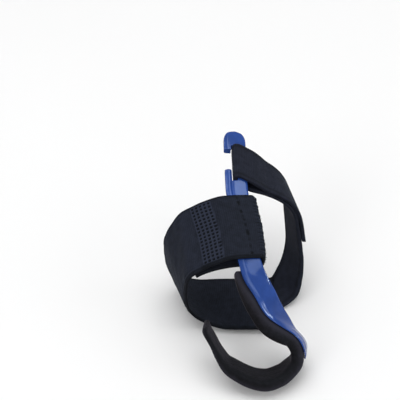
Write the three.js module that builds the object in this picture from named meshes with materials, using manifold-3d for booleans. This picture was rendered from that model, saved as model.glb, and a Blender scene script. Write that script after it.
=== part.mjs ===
// Bunion corrector for a left big toe: a plastic lever, its foam toe cradle and two straps.
// Millimetres, +Z up, toes toward -Y, the outer side of the foot toward +X.
// The origin is on the instep, under the lever's arm, where the brace sits.

import * as THREE from "three";
import Module from "manifold-3d";
import { mergeVertices } from "three/addons/utils/BufferGeometryUtils.js";

const wasm = await Module();
wasm.setup();

// Clearance between neighbouring pieces
const gap = 0.3;

// The foot form that the straps lie on
const innerHalfWidth = 35;
const outerHalfWidth = 33.5;
const instepHeight = 48;
const waistDepth = 20.8;
const waistSlope = 0.144;
const instepSlope = 0.34;
const formLean = 0.345;
const formShift = 0.4;
const innerSpread = 0.03;
const innerRoundness = 2.3;
const outerRoundness = 2.6;
const soleRoundness = 3.2;
const soleFullness = 1.03;
const sectionSteps = 240;

// Strap sizes
const strapThickness = 1.9;
const wideStrapWidth = 34.4;
const wideUnderLayer = 27;
const wideStrapReach = 112;
const narrowStrapWidth = 19;
const wideSetback = 1.8;
const narrowStrapCourse = 36.5;
const narrowStrapRise = 100;
const narrowTailLength = 52;
const soleLap = 24;
const lapStep = 8.6;
const lapSlope = 6.4;
const strapEdge = 0.6;
const strapBend = 14;
const foldSlack = 0.4;
const armEase = 0.4;
const strapStep = 2.4;
const strapSideStep = 5;

// Splint sizes
const plasticThickness = 3;
const armWidth = 11.2;
const armReach = 58;
const armDrift = 6.3;
const armFront = -20;
const armEnd = -17;
const armStep = 3.2;
const tongueStart = 1.4;
const tongueEnd = 61.2;
const tongueStep = 1.14;
const thinFrom = 8;
const thinOver = 20;
const tipLength = 4.5;
const tongueWidth = 17;
const tongueInset = 0.4;
const tongueTrim = 1.1;
const tipThickness = 1.6;
const splintEdge = 1.1;
const splintSteps = 4;
const headMargin = 9.5;
const headRound = 5.6;
const slotWidth = 2.7;
const slotMouth = 11.4;
const slotBarWidth = 4.9;
const hookTip = 2.2;
const slotEndRoom = 0.6;
const cutterRoom = 2;

// Toe cradle sizes
const padWidth = 18;
const padThickness = 6.5;
const padStart = 0.2;
const padEndTrim = 1.8;
const padSteps = 64;
const padRoundness = 0.42;
const padLip = 2.6;
const padLipLength = 24;
const padRaise = 2.2;
const raiseFrom = 3;
const raiseFull = 18;
const lowerFrom = 32;
const lowerFull = 46;
const cradleReach = 57;
const cradleDrop = 46;
const cradleSpan = 28;

// 0 below low, 1 above high, and an even rise between them
function evenRise(low, high, value) {
  const t = Math.min(1, Math.max(0, (value - low) / (high - low)));
  return t * t * (3 - 2 * t);
}

// Smooth value of one column of a table at a place in another column
function readTable(rows, along, column, at) {
  const count = rows.length;
  let i = 0;
  while (i < count - 2 && at > rows[i + 1][along]) {
    i += 1;
  }
  const span = rows[i + 1][along] - rows[i][along];
  const t = Math.min(1, Math.max(0, (at - rows[i][along]) / span));
  const slopeAt = (k) => {
    const before = rows[Math.max(0, k - 1)];
    const after = rows[Math.min(count - 1, k + 1)];
    return (after[column] - before[column]) / (after[along] - before[along]);
  };
  const a = rows[i][column];
  const b = rows[i + 1][column];
  const ma = slopeAt(i) * span;
  const mb = slopeAt(i + 1) * span;
  const t2 = t * t;
  const t3 = t2 * t;
  return a * (2 * t3 - 3 * t2 + 1) + ma * (t3 - 2 * t2 + t) + b * (3 * t2 - 2 * t3) + mb * (t3 - t2);
}

// The same rows with some columns, given as shares, times real sizes
function scaled(rows, sizes) {
  return rows.map((row) => {
    const made = { ...row };
    for (const [column, size] of Object.entries(sizes)) {
      made[column] *= size;
    }
    return made;
  });
}

// Where the arm's centre line runs across the form, along the foot
const armCourse = scaled(
  [
    { y: -0.345, x: 0.413 },
    { y: -0.241, x: 0.238 },
    { y: 0, x: 0 },
    { y: 0.241, x: -0.444 },
    { y: 0.379, x: -0.698 },
    { y: 0.448, x: -0.746 },
    { y: 0.621, x: -0.825 },
    { y: 0.81, x: -0.913 },
    { y: 1, x: -1 },
  ],
  { y: armReach, x: armDrift },
);

// One cross-section of the form at a distance along the foot, as points by length round it
const sectionCache = new Map();
function formSection(y) {
  const key = y.toFixed(3);
  if (sectionCache.has(key)) {
    return sectionCache.get(key);
  }
  const middle = formShift - formLean * y;
  const waist = -waistDepth + waistSlope * y;
  const top = instepSlope * y;
  const sole = -instepHeight;
  const armX = readTable(armCourse, "y", "x", Math.max(armFront, Math.min(armReach, y)));
  const points = [];
  for (let i = 0; i < sectionSteps; i += 1) {
    const angle = Math.PI / 2 + (2 * Math.PI * i) / sectionSteps;
    const c = Math.cos(angle);
    const s = Math.sin(angle);
    const height = s > 0 ? top - waist : (waist - sole) * soleFullness;
    const half = c > 0 ? outerHalfWidth : innerHalfWidth + innerSpread * y;
    const upperRoundness = c > 0 ? outerRoundness : innerRoundness;
    const power = 2 / (s > 0 ? upperRoundness : soleRoundness);
    const x = middle + half * Math.sign(c) * Math.abs(c) ** power;
    const z = waist + height * Math.sign(s) * Math.abs(s) ** power;
    points.push({ x, z: Math.max(z, sole) });
  }
  const lengths = [0];
  for (let i = 1; i <= sectionSteps; i += 1) {
    const a = points[i - 1];
    const b = points[i % sectionSteps];
    lengths.push(lengths[i - 1] + Math.hypot(b.x - a.x, b.z - a.z));
  }
  points.forEach((point, i) => {
    const before = points[(i + sectionSteps - 2) % sectionSteps];
    const after = points[(i + 2) % sectionSteps];
    const size = Math.hypot(after.x - before.x, after.z - before.z);
    point.outX = (after.z - before.z) / size;
    point.outZ = -(after.x - before.x) / size;
  });
  const girth = lengths[sectionSteps];
  const section = { points, lengths, girth, start: middle - armX };
  sectionCache.set(key, section);
  return section;
}

// A point on the form: y along the foot, s round it from the arm toward the inner side, n outward
function onForm(y, s, n) {
  const section = formSection(y);
  const { points, lengths, girth } = section;
  let at = s + section.start;
  at = ((at % girth) + girth) % girth;
  let low = 0;
  let high = sectionSteps;
  while (high - low > 1) {
    const mid = (low + high) >> 1;
    if (lengths[mid] <= at) {
      low = mid;
    } else {
      high = mid;
    }
  }
  const a = points[low];
  const b = points[(low + 1) % sectionSteps];
  const t = (at - lengths[low]) / (lengths[low + 1] - lengths[low]);
  const mix = (key) => a[key] + (b[key] - a[key]) * t;
  const size = Math.hypot(mix("outX"), mix("outZ"));
  return new THREE.Vector3(mix("x") + (mix("outX") / size) * n, y, mix("z") + (mix("outZ") / size) * n);
}

// A closed solid from rings of points, each ring a loop in the same order
function loft(rings) {
  const count = rings[0].length;
  const positions = [];
  for (const ring of rings) {
    for (const point of ring) {
      positions.push(point.x, point.y, point.z);
    }
  }
  const indices = [];
  for (let r = 0; r < rings.length - 1; r += 1) {
    for (let i = 0; i < count; i += 1) {
      const j = (i + 1) % count;
      const a = r * count + i;
      const b = r * count + j;
      const c = (r + 1) * count + i;
      const d = (r + 1) * count + j;
      indices.push(a, b, d, a, d, c);
    }
  }
  for (const [r, flip] of [[0, true], [rings.length - 1, false]]) {
    const centre = new THREE.Vector3();
    rings[r].forEach((point) => centre.add(point));
    centre.divideScalar(count);
    const hub = positions.length / 3;
    positions.push(centre.x, centre.y, centre.z);
    for (let i = 0; i < count; i += 1) {
      const a = r * count + i;
      const b = r * count + ((i + 1) % count);
      indices.push(...(flip ? [hub, b, a] : [hub, a, b]));
    }
  }
  const geometry = new THREE.BufferGeometry();
  geometry.setAttribute("position", new THREE.Float32BufferAttribute(positions, 3));
  geometry.setIndex(indices);
  if (signedVolume(geometry) < 0) {
    for (let i = 0; i < indices.length; i += 3) {
      const keep = indices[i + 1];
      indices[i + 1] = indices[i + 2];
      indices[i + 2] = keep;
    }
    geometry.setIndex(indices);
  }
  return geometry;
}

function signedVolume(geometry) {
  const p = geometry.attributes.position;
  const index = geometry.index.array;
  const a = new THREE.Vector3();
  const b = new THREE.Vector3();
  const c = new THREE.Vector3();
  let sum = 0;
  for (let i = 0; i < index.length; i += 3) {
    a.fromBufferAttribute(p, index[i]);
    b.fromBufferAttribute(p, index[i + 1]);
    c.fromBufferAttribute(p, index[i + 2]);
    sum += a.dot(b.cross(c)) / 6;
  }
  return sum;
}

// Rounded rectangle outline, as pairs of places across the width and up through the thickness
function roundedOutline(width, thickness, radius, cornerSteps, sideSteps = 1) {
  const outline = [];
  const corners = [
    [width / 2 - radius, thickness / 2 - radius, 0],
    [-width / 2 + radius, thickness / 2 - radius, 1],
    [-width / 2 + radius, -thickness / 2 + radius, 2],
    [width / 2 - radius, -thickness / 2 + radius, 3],
  ];
  for (const [cx, cy, quarter] of corners) {
    for (let i = 0; i <= cornerSteps; i += 1) {
      const angle = ((quarter + i / cornerSteps) * Math.PI) / 2;
      outline.push([cx + radius * Math.cos(angle), cy + radius * Math.sin(angle)]);
    }
    if (quarter % 2 === 0) {
      const [side] = outline[outline.length - 1];
      const up = cy + radius * (quarter === 0 ? 1 : -1);
      for (let i = 1; i < sideSteps; i += 1) {
        outline.push([side * (1 - (2 * i) / sideSteps), up]);
      }
    }
  }
  return outline;
}

// A strap: a profile path of length round the form and height off it, on a course along the foot
// The course gives y, and how far its edge to edge line is squared to its run, from 0 to 1
function strap(profile, course, width) {
  const outline = roundedOutline(width, strapThickness, strapEdge, 2, Math.round(width / strapSideStep));
  const rings = profile.map((at, i) => {
    const before = profile[Math.max(0, i - 1)];
    const after = profile[Math.min(profile.length - 1, i + 1)];
    const reach = Math.hypot(after.s - before.s, after.n - before.n);
    const upS = -(after.n - before.n) / reach;
    const upN = (after.s - before.s) / reach;
    const y = readTable(course, "s", "y", at.s);
    const square = readTable(course, "s", "square", at.s);
    const ahead = onForm(readTable(course, "s", "y", at.s + 0.5), at.s + 0.5, 0);
    const behind = onForm(readTable(course, "s", "y", at.s - 0.5), at.s - 0.5, 0);
    const run = ahead.sub(behind);
    const alongY = onForm(y + 0.5, at.s, at.n).sub(onForm(y - 0.5, at.s, at.n));
    const alongS = onForm(y, at.s + 0.5, 0).sub(onForm(y, at.s - 0.5, 0));
    const lean = (-alongY.dot(run) / alongS.dot(run)) * square;
    const stretch = alongY.clone().addScaledVector(alongS, lean).length();
    return outline.map(([across, up]) => {
      const dy = across / stretch;
      return onForm(y + dy, at.s + dy * lean + up * upS, at.n + up * upN);
    });
  });
  return loft(rings);
}

// A profile path from straight runs joined by round corners, cut into short steps
function profilePath(corners, step) {
  const path = [{ s: corners[0].s, n: corners[0].n }];
  const runTo = (s, n) => {
    const last = path[path.length - 1];
    const length = Math.hypot(s - last.s, n - last.n);
    const pieces = Math.max(1, Math.round(length / step));
    for (let i = 1; i <= pieces; i += 1) {
      path.push({ s: last.s + ((s - last.s) * i) / pieces, n: last.n + ((n - last.n) * i) / pieces });
    }
  };
  for (let k = 1; k < corners.length - 1; k += 1) {
    const here = corners[k];
    const before = corners[k - 1];
    const after = corners[k + 1];
    const inS = here.s - before.s;
    const inN = here.n - before.n;
    const outS = after.s - here.s;
    const outN = after.n - here.n;
    const inLength = Math.hypot(inS, inN);
    const outLength = Math.hypot(outS, outN);
    const cosine = (inS * outS + inN * outN) / (inLength * outLength);
    const turn = Math.acos(Math.min(1, Math.max(-1, cosine)));
    const cut = here.radius * Math.tan(turn / 2);
    const from = { s: here.s - (inS / inLength) * cut, n: here.n - (inN / inLength) * cut };
    const to = { s: here.s + (outS / outLength) * cut, n: here.n + (outN / outLength) * cut };
    runTo(from.s, from.n);
    const bends = Math.max(2, Math.round(turn / 0.4));
    for (let i = 1; i <= bends; i += 1) {
      const t = i / bends;
      const q = (1 - t) * (1 - t);
      const m = 2 * t * (1 - t);
      const e = t * t;
      path.push({ s: q * from.s + m * here.s + e * to.s, n: q * from.n + m * here.n + e * to.n });
    }
  }
  const end = corners[corners.length - 1];
  runTo(end.s, end.n);
  return path;
}

// Heights of the strap layers off the form, at the middle of the cloth
const underLayer = strapThickness / 2;
const plasticUnderside = strapThickness + gap;
const overArm = plasticUnderside + plasticThickness + gap + armEase + strapThickness / 2;
const overStrap = strapThickness + gap + strapThickness / 2;
const foldRadius = foldSlack + strapThickness / 2;

// The wide strap: under the arm, round its outer edge, back over it, then round the inner side
const wideFold = -armWidth / 2 - gap - strapThickness / 2;
const wideProfile = profilePath(
  [
    { s: wideUnderLayer, n: underLayer },
    { s: wideFold, n: underLayer, radius: foldRadius },
    { s: wideFold, n: overArm, radius: foldRadius },
    { s: armWidth * 0.77, n: overArm, radius: strapBend },
    { s: wideUnderLayer * 0.85, n: overStrap + strapThickness * 0.25, radius: strapBend * 1.4 },
    { s: wideUnderLayer * 1.07, n: overStrap, radius: strapBend * 0.7 },
    { s: wideUnderLayer * 1.33, n: underLayer, radius: strapBend },
    { s: wideStrapReach, n: underLayer },
  ],
  strapStep,
);
const wideCourse = scaled(
  [
    { s: -0.179, y: 1, square: 0 },
    { s: 0, y: 1, square: 0 },
    { s: 0.357, y: 0, square: 0 },
    { s: 0.536, y: 0, square: 0.2 },
    { s: 0.848, y: 0, square: 1 },
    { s: 1.25, y: 0, square: 1 },
  ],
  { s: wideStrapReach, y: wideSetback },
);
const wideStrap = strap(wideProfile, wideCourse, wideStrapWidth);

// The narrow strap: from its lap on the sole, up the outer side, through the slot and back
const slotOuter = -armWidth / 2 + slotBarWidth;
const narrowFold = slotOuter + gap + strapThickness / 2;
const girth = formSection(0).girth;
const narrowCourse = scaled(
  [
    { s: -1.6, y: 0, square: 1 },
    { s: -1.2, y: 0, square: 1 },
    { s: -1, y: 0.027, square: 1 },
    { s: -0.8, y: 0.233, square: 1 },
    { s: -0.6, y: 0.589, square: 1 },
    { s: -0.46, y: 0.795, square: 0.5 },
    { s: -0.34, y: 0.877, square: 0.1 },
    { s: -0.22, y: 0.893, square: 0 },
    { s: -0.15, y: 0.91, square: 0 },
    { s: -0.07, y: 0.932, square: 0 },
    { s: -0.01, y: 1, square: 0 },
    { s: 0.2, y: 1, square: 0 },
  ],
  { s: narrowStrapRise, y: narrowStrapCourse },
);
const lapStart = wideStrapReach - girth;
const narrowProfile = profilePath(
  [
    { s: lapStart - soleLap, n: overStrap },
    { s: lapStart + lapStep, n: overStrap, radius: strapBend * 0.43 },
    { s: lapStart + lapStep + lapSlope, n: underLayer, radius: strapBend * 0.43 },
    { s: narrowFold, n: underLayer, radius: foldRadius },
    { s: narrowFold, n: overArm, radius: foldRadius },
    { s: -armWidth * 0.63, n: overArm, radius: strapBend * 0.57 },
    { s: -armWidth * 1.3, n: overStrap, radius: strapBend * 0.57 },
    { s: -narrowTailLength, n: overStrap },
  ],
  strapStep,
);
const narrowStrap = strap(narrowProfile, narrowCourse, narrowStrapWidth);

// The lever's front edge beyond the strap: shares of the cradle's span, reach and drop
// x, y and z place the edge; bx, by and bz point from it to the back edge
// wide and pad are shares of the band's full width and of the foam's full thickness
const leverRows = [
  { x: -0.139, y: 0.298, z: 0.076, bx: 1, by: 0, bz: -0.03, wide: 0.69, pad: 0.72 },
  { x: -0.089, y: 0.384, z: 0.122, bx: 0.95, by: 0.2, bz: -0.24, wide: 0.74, pad: 0.78 },
  { x: -0.018, y: 0.477, z: 0.174, bx: 0.85, by: 0.4, bz: -0.35, wide: 0.82, pad: 0.85 },
  { x: 0.093, y: 0.588, z: 0.243, bx: 0.69, by: 0.57, bz: -0.44, wide: 0.94, pad: 0.9 },
  { x: 0.225, y: 0.654, z: 0.343, bx: 0.62, by: 0.58, bz: -0.53, wide: 1.05, pad: 0.92 },
  { x: 0.368, y: 0.693, z: 0.409, bx: 0.54, by: 0.58, bz: -0.62, wide: 1.09, pad: 0.96 },
  { x: 0.561, y: 0.711, z: 0.457, bx: 0.45, by: 0.56, bz: -0.69, wide: 0.92, pad: 1 },
  { x: 0.764, y: 0.719, z: 0.498, bx: 0.28, by: 0.56, bz: -0.78, wide: 0.82, pad: 1 },
  { x: 0.864, y: 0.737, z: 0.543, bx: 0.22, by: 0.59, bz: -0.78, wide: 0.9, pad: 1 },
  { x: 0.95, y: 0.761, z: 0.622, bx: 0.16, by: 0.62, bz: -0.76, wide: 0.9, pad: 1 },
  { x: 1.004, y: 0.789, z: 0.709, bx: 0.1, by: 0.7, bz: -0.7, wide: 0.9, pad: 1 },
  { x: 1.021, y: 0.825, z: 0.772, bx: 0.02, by: 0.74, bz: -0.67, wide: 0.9, pad: 1 },
  { x: 0.993, y: 0.877, z: 0.859, bx: -0.02, by: 0.8, bz: -0.6, wide: 0.9, pad: 1 },
  { x: 0.846, y: 0.939, z: 0.95, bx: -0.03, by: 0.86, bz: -0.5, wide: 0.89, pad: 0.98 },
  { x: 0.686, y: 0.991, z: 1, bx: -0.03, by: 0.9, bz: -0.43, wide: 0.88, pad: 0.96 },
  { x: 0.368, y: 1.044, z: 1.026, bx: -0.02, by: 0.92, bz: -0.39, wide: 0.87, pad: 0.95 },
  { x: 0.043, y: 1.026, z: 1.002, bx: 0, by: 0.92, bz: -0.39, wide: 0.86, pad: 0.92 },
  { x: -0.279, y: 0.965, z: 0.935, bx: 0.02, by: 0.92, bz: -0.39, wide: 0.84, pad: 0.86 },
  { x: -0.439, y: 0.912, z: 0.883, bx: 0.04, by: 0.91, bz: -0.4, wide: 0.82, pad: 0.7 },
  { x: -0.586, y: 0.821, z: 0.761, bx: 0.06, by: 0.9, bz: -0.42, wide: 0.8, pad: 0.5 },
  { x: -0.664, y: 0.761, z: 0.674, bx: 0.08, by: 0.89, bz: -0.44, wide: 0.79, pad: 0.4 },
  { x: -0.764, y: 0.711, z: 0.593, bx: 0.1, by: 0.88, bz: -0.45, wide: 0.78, pad: 0.42 },
  { x: -0.836, y: 0.667, z: 0.487, bx: 0.1, by: 0.88, bz: -0.45, wide: 0.77, pad: 0.48 },
];
const edgePlace = (row) => new THREE.Vector3(row.x * cradleSpan, -row.y * cradleReach, -row.z * cradleDrop);
leverRows.forEach((row, i) => {
  const before = leverRows[Math.max(0, i - 1)];
  row.at = i === 0 ? 0 : before.at + edgePlace(row).distanceTo(edgePlace(before));
});
const leverLength = leverRows[leverRows.length - 1].at;

// The frame of the lever at a length along its front edge: the edge, way to the back edge, and outward
function leverFrame(at) {
  const value = (column, t) => readTable(leverRows, "at", column, t);
  const point = (t) => edgePlace({ x: value("x", t), y: value("y", t), z: value("z", t) });
  const step = 0.6;
  const edge = point(at);
  const along = point(Math.min(leverLength, at + step)).sub(point(Math.max(0, at - step))).normalize();
  const back = new THREE.Vector3(value("bx", at), value("by", at), value("bz", at)).normalize();
  const out = new THREE.Vector3().crossVectors(back, along).normalize().negate();
  return { edge, back, out };
}

// A band on the lever: set back from its front edge, between two heights off the lever's line
function leverRing(at, width, inset, low, high, radius, cornerSteps) {
  const { edge, back, out } = leverFrame(at);
  const outline = roundedOutline(width, high - low, radius, cornerSteps);
  return outline.map(([across, up]) =>
    edge
      .clone()
      .addScaledVector(back, inset + width / 2 - across)
      .addScaledVector(out, (low + high) / 2 + up),
  );
}

// Share of the bend, where the foam is thicker toward the plastic and the plastic is narrower
function bendShare(at) {
  return evenRise(raiseFrom, raiseFull, at) * (1 - evenRise(lowerFrom, lowerFull, at));
}

// The toe pad lines the lever's inner face and goes on under the toe to its free end
const padEndShape = [0.55, 0.86, 1];
const padRings = [];
for (let i = 0; i <= padSteps; i += 1) {
  const share = i / padSteps;
  const at = padStart + (leverLength - padEndTrim - padStart) * share;
  const thickness = readTable(leverRows, "at", "pad", at) * padThickness;
  const width = readTable(leverRows, "at", "wide", at) * padWidth;
  const stepsLeft = Math.round(Math.min(share, 1 - share) * padSteps);
  const round = padEndShape[Math.min(stepsLeft, padEndShape.length - 1)];
  const radius = thickness * padRoundness * round;
  const inset = (width * (1 - round)) / 2 - padLip * Math.max(0, 1 - at / padLipLength);
  const top = padRaise * bendShare(at) - gap;
  padRings.push(leverRing(at, width * round, inset, -gap - thickness, top, radius, 3));
}
const toePad = loft(padRings);

// The splint's arm on the form, then its tongue along the lever
const splintRings = [];
const armRing = (y, width) => {
  const left = onForm(y, 1, plasticUnderside);
  const right = onForm(y, -1, plasticUnderside);
  const across = left.clone().sub(right).normalize();
  const along = onForm(y - 1, 0, plasticUnderside).sub(onForm(y + 1, 0, plasticUnderside)).normalize();
  const out = new THREE.Vector3().crossVectors(across, along).normalize();
  if (out.z < 0) {
    out.negate();
  }
  const centre = onForm(y, 0, plasticUnderside);
  return roundedOutline(width, plasticThickness, splintEdge, splintSteps).map(([a, up]) =>
    centre
      .clone()
      .addScaledVector(across, a)
      .addScaledVector(out, plasticThickness / 2 + up),
  );
};
const armStretch = Math.hypot(1, instepSlope);
const slotHalf = (narrowStrapWidth / 2 + slotEndRoom) / armStretch;
const slotTop = narrowStrapCourse + slotHalf;
const slotBottom = narrowStrapCourse - slotHalf;
const headTop = slotTop + headMargin;
const headShape = scaled(
  [
    { at: 0, wide: 0.3 },
    { at: 0.054, wide: 0.42 },
    { at: 0.143, wide: 0.56 },
    { at: 0.286, wide: 0.72 },
    { at: 0.482, wide: 0.86 },
    { at: 0.714, wide: 0.95 },
    { at: 1, wide: 1 },
  ],
  { at: headRound },
);
for (const row of headShape) {
  splintRings.push(armRing(headTop - row.at, armWidth * row.wide));
}
for (let y = headTop - headRound - armStep; y > armEnd; y -= armStep) {
  splintRings.push(armRing(y, armWidth));
}
for (let at = tongueStart; at <= tongueEnd; at += tongueStep) {
  const bend = bendShare(at);
  const full = readTable(leverRows, "at", "wide", at) * tongueWidth - 2 * tongueTrim * bend;
  const left = tongueEnd - at;
  const round = left < tipLength ? 0.25 + 0.75 * Math.sqrt(1 - (1 - left / tipLength) ** 2) : 1;
  const width = full * round;
  const inset = tongueInset + tongueTrim * bend + (full - width) / 2;
  const thin = evenRise(thinFrom, thinFrom + thinOver, at);
  const thickness = plasticThickness + (tipThickness - plasticThickness) * thin;
  const edge = Math.min(splintEdge, thickness * 0.4);
  const foot = padRaise * bend;
  splintRings.push(leverRing(at, width, inset, foot, foot + thickness, edge, splintSteps));
}
const splintBody = loft(splintRings);

function toManifold(geometry) {
  const bare = geometry.clone();
  bare.deleteAttribute("normal");
  bare.deleteAttribute("uv");
  const merged = mergeVertices(bare, 1e-5);
  return new wasm.Manifold(
    new wasm.Mesh({
      numProp: 3,
      vertProperties: new Float32Array(merged.attributes.position.array),
      triVerts: new Uint32Array(merged.index.array),
    }),
  );
}

function toGeometry(manifold) {
  const mesh = manifold.getMesh();
  const geometry = new THREE.BufferGeometry();
  geometry.setAttribute("position", new THREE.Float32BufferAttribute(mesh.vertProperties, 3));
  geometry.setIndex(Array.from(mesh.triVerts));
  return geometry;
}

// A cutter across the plastic between two lengths along the arm and two places across it
function armCutter(yHigh, yLow, left, right) {
  const steps = 6;
  const rings = [];
  for (let i = 0; i <= steps; i += 1) {
    const y = yHigh + ((yLow - yHigh) * i) / steps;
    rings.push([
      onForm(y, left, -cutterRoom),
      onForm(y, right, -cutterRoom),
      onForm(y, right, plasticUnderside + plasticThickness + cutterRoom),
      onForm(y, left, plasticUnderside + plasticThickness + cutterRoom),
    ]);
  }
  return loft(rings);
}

const mouthTop = slotTop - hookTip;
const slotCut = armCutter(slotTop, slotBottom, slotOuter + slotWidth, slotOuter);
const mouthCut = armCutter(mouthTop, mouthTop - slotMouth, armWidth, slotOuter + slotWidth / 2);
const splint = toManifold(splintBody).subtract(toManifold(slotCut)).subtract(toManifold(mouthCut));

const finish = {
  splint: { color: 0x1f55ad, roughness: 0.3, metalness: 0 },
  toe_pad: { color: 0x17181b, roughness: 0.9, metalness: 0 },
  wide_strap: { color: 0x1b2028, roughness: 0.95, metalness: 0 },
  narrow_strap: { color: 0x191b21, roughness: 0.95, metalness: 0 },
};

const brace = new THREE.Group();
function addPiece(name, geometry) {
  const flat = geometry.toNonIndexed();
  flat.computeVertexNormals();
  const mesh = new THREE.Mesh(flat, new THREE.MeshStandardMaterial(finish[name]));
  mesh.name = name;
  brace.add(mesh);
}

addPiece("splint", toGeometry(splint));
addPiece("toe_pad", toePad);
addPiece("wide_strap", wideStrap);
addPiece("narrow_strap", narrowStrap);

export default brace;
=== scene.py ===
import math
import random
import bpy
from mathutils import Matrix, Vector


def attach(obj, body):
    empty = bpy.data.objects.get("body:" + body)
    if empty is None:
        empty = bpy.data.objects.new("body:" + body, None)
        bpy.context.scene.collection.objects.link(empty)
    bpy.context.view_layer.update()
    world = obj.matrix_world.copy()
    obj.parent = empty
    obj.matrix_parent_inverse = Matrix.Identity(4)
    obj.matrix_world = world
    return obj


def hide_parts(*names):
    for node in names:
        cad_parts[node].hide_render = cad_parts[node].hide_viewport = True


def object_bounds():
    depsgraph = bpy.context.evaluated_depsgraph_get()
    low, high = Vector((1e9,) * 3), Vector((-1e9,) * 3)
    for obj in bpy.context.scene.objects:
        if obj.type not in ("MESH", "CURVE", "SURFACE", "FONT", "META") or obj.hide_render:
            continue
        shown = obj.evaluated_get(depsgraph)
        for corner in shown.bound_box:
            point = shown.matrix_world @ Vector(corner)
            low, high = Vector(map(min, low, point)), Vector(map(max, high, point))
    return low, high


bl_info = {
    "name": "Bunion Corrector",
    "version": (1, 0, 0),
    "blender": (4, 5, 0),
    "location": "View3D > Sidebar > Brace",
    "description": "Builds the looks of a bunion corrector round its packed solids",
    "category": "Object",
}

import bmesh
import bpy
import numpy as np
from bpy.props import FloatProperty, FloatVectorProperty, IntProperty, PointerProperty
from mathutils import Vector

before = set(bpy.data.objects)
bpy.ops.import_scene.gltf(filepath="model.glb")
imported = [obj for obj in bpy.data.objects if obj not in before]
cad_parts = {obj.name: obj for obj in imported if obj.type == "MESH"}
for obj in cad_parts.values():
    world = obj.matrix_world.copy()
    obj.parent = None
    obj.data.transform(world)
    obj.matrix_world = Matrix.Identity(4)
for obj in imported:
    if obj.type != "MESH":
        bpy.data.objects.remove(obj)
CAD_BOX = [list(corner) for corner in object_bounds()]

# Lengths below are in millimetres, in the brace's own frame; the pieces are made in metres
MM = 0.001
MM_TO_CM = 0.1
GAP = 0.3

# The form that the straps lie on, by its half widths, heights and slopes
INNER_HALF_WIDTH = 35.0
OUTER_HALF_WIDTH = 33.5
INNER_SPREAD = 0.03
INSTEP_HEIGHT = 48.0
WAIST_DEPTH = 20.8
WAIST_SLOPE = 0.144
INSTEP_SLOPE = 0.34
FORM_LEAN = 0.345
FORM_SHIFT = 0.4
INNER_ROUNDNESS = 2.3
OUTER_ROUNDNESS = 2.6
SOLE_ROUNDNESS = 3.2
SOLE_FULLNESS = 1.03

# Strap, lever and cradle sizes
STRAP_THICKNESS = 1.9
WIDE_STRAP_WIDTH = 34.4
WIDE_UNDER_LAYER = 27.0
WIDE_STRAP_REACH = 112.0
NARROW_STRAP_WIDTH = 19.0
NARROW_STRAP_COURSE = 36.5
NARROW_TAIL_LENGTH = 52.0
SOLE_LAP = 24.0
LAP_STEP = 8.6
LAP_SLOPE = 6.4
STRAP_BEND = 14.0
FOLD_SLACK = 0.4
ARM_EASE = 0.4
PLASTIC_THICKNESS = 3.0
ARM_WIDTH = 11.2
ARM_END = -17.0
TONGUE_START = 1.4
TONGUE_END = 61.2
THIN_FROM = 8.0
THIN_OVER = 20.0
TIP_LENGTH = 4.5
TONGUE_WIDTH = 17.0
TONGUE_INSET = 0.4
TONGUE_TRIM = 1.1
TIP_THICKNESS = 1.6
HEAD_MARGIN = 9.5
SLOT_WIDTH = 2.7
SLOT_MOUTH = 11.4
SLOT_BAR_WIDTH = 4.9
HOOK_TIP = 2.2
SLOT_END_ROOM = 0.6
PAD_WIDTH = 18.0
PAD_THICKNESS = 6.5
PAD_START = 0.2
PAD_END_TRIM = 1.8
PAD_LIP = 2.6
PAD_LIP_LENGTH = 24.0
PAD_RAISE = 2.2
CRADLE_REACH = 57.0
CRADLE_DROP = 46.0
CRADLE_SPAN = 28.0
RAISE_FROM = 3.0
RAISE_FULL = 18.0
LOWER_FROM = 32.0
LOWER_FULL = 46.0

# Steps and points by which the strap paths, round corners and slopes are worked out
PATH_STEP = 0.5
BEND_STEP = 0.12
LEAST_BENDS = 4
CORNER_POINTS = 5
NEAR = 0.5
EDGE_NEAR = 0.6


def smooth(low, high, value):
    """0 below low, 1 above high, and an even rise between them."""
    t = np.clip((value - low) / (high - low), 0.0, 1.0)
    return t * t * (3 - 2 * t)


class Table:
    """Rows of numbers in named columns, read smoothly between the rows. The first column is the place."""

    def __init__(self, names, rows):
        self.names = names.split()
        self.rows = [list(row) for row in rows]

    def column(self, name):
        k = self.names.index(name)
        return [row[k] for row in self.rows]

    def read(self, name, at):
        places, values = self.column(self.names[0]), self.column(name)
        last = len(places) - 1
        i = 0
        while i < last - 1 and at > places[i + 1]:
            i += 1
        span = places[i + 1] - places[i]
        t = min(1.0, max(0.0, (at - places[i]) / span))

        def slope(k):
            before, after = max(0, k - 1), min(last, k + 1)
            return (values[after] - values[before]) / (places[after] - places[before])

        t2, t3 = t * t, t * t * t
        ends = values[i] * (2 * t3 - 3 * t2 + 1) + values[i + 1] * (3 * t2 - 2 * t3)
        return ends + span * (slope(i) * (t3 - 2 * t2 + t) + slope(i + 1) * (t3 - t2))


ARM_COURSE = Table(
    "y x",
    [
        (-20, 2.6), (-14, 1.5), (0, 0), (14, -2.8), (22, -4.4),
        (26, -4.7), (36, -5.2), (47, -5.75), (58, -6.3),
    ],
)

WIDE_COURSE = Table(
    "s y square",
    [(-20, 1.8, 0), (0, 1.8, 0), (40, 0, 0), (60, 0, 0.2), (95, 0, 1), (140, 0, 1)],
)

NARROW_COURSE = Table(
    "s y square",
    [
        (-160, 0, 1), (-120, 0, 1), (-100, 1, 1), (-80, 8.5, 1), (-60, 21.5, 1), (-46, 29, 0.5),
        (-34, 32, 0.1), (-22, 32.6, 0), (-15, 33.2, 0), (-7, 34, 0), (-1, 36.5, 0), (20, 36.5, 0),
    ],
)

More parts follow.
